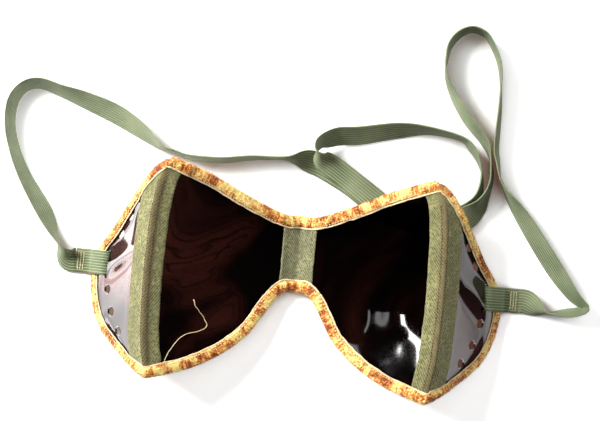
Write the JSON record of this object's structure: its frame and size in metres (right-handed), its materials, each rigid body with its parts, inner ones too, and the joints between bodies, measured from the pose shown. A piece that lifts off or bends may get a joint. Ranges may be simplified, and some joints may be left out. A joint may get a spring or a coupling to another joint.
{
  "type": "sand goggles",
  "caption": "Folding sand goggles of tinted sheet: lens panels and vented side panels joined by twill tapes, bound with plush, on a ribbed elastic strap",
  "frame": {"origin": "centre of the goggles' outline in X and Y, on the table that they lie on; the strap's free runs aren't counted", "axes": "+X across the face towards the right side panel as seen from the front, +Y towards the brow, +Z out of the front, away from the face"},
  "size_m": [0.243, 0.153, 0.0283],
  "materials": {
    "lens_celluloid": "glossy tinted sheet, almost black, red-brown where light comes through",
    "side_celluloid": "glossy tinted sheet",
    "twill_tape": "olive cotton twill",
    "tape_thread": "olive sewing thread",
    "seam_thread": "brown sewing thread",
    "plush": "short gold plush",
    "rim_thread": "cream sewing thread",
    "elastic": "ribbed elastic webbing"
  },
  "bodies": {
    "left_lens": {"left_lens": "lens_celluloid", "left_seam_tape_outer": "twill_tape", "left_seam_tape_inner": "twill_tape", "left_seam_lens_stitching": "seam_thread", "left_brow_binding": "plush", "left_cheek_binding": "plush", "left_upper_corner_binding": "plush", "left_lower_corner_binding": "plush", "left_brow_stitching": "rim_thread", "left_cheek_stitching": "rim_thread", "bridge_stitching_left": "tape_thread", "bridge_tape_front": "twill_tape", "bridge_tape_back": "twill_tape", "bridge_top_binding": "plush", "nose_binding": "plush", "strap_middle": "elastic"},
    "right_lens": {"right_lens": "lens_celluloid", "right_seam_tape_outer": "twill_tape", "right_seam_tape_inner": "twill_tape", "right_seam_lens_stitching": "seam_thread", "right_brow_binding": "plush", "right_cheek_binding": "plush", "right_upper_corner_binding": "plush", "right_lower_corner_binding": "plush", "right_brow_stitching": "rim_thread", "right_cheek_stitching": "rim_thread", "bridge_stitching_right": "tape_thread"},
    "left_side": {"left_side_panel": "side_celluloid", "left_seam_side_stitching": "seam_thread", "left_side_binding": "plush", "left_side_stitching": "rim_thread", "left_strap_end_loop": "elastic", "left_strap_tack": "rim_thread", "strap_left": "elastic"},
    "right_side": {"right_side_panel": "side_celluloid", "right_seam_side_stitching": "seam_thread", "right_side_binding": "plush", "right_side_stitching": "rim_thread", "right_strap_end_loop": "elastic", "right_strap_tack": "rim_thread", "strap_right": "elastic"}
  },
  "joints": [
    {"name": "bridge_fold", "type": "hinge", "parent": "left_lens", "child": "right_lens", "pos_m": [0, 0, 0.0021], "axis": [0, -1, 0], "range_deg": [-80, 105], "deforming": ["bridge_tape_front", "bridge_tape_back", "bridge_top_binding", "nose_binding", "strap_middle"]},
    {"name": "left_side_fold", "type": "hinge", "parent": "left_lens", "child": "left_side", "pos_m": [-0.05541, -0.0417, 0.02562], "axis": [-0.0388, -0.9991, 0.0165], "range_deg": [-69, 80], "deforming": ["left_seam_tape_outer", "left_seam_tape_inner", "left_upper_corner_binding", "left_lower_corner_binding", "strap_left"]},
    {"name": "right_side_fold", "type": "hinge", "parent": "right_lens", "child": "right_side", "pos_m": [0.05541, -0.0417, 0.02562], "axis": [-0.0388, 0.9991, -0.0165], "range_deg": [-69, 80], "deforming": ["right_seam_tape_outer", "right_seam_tape_inner", "right_upper_corner_binding", "right_lower_corner_binding", "strap_right"]}
  ]
}
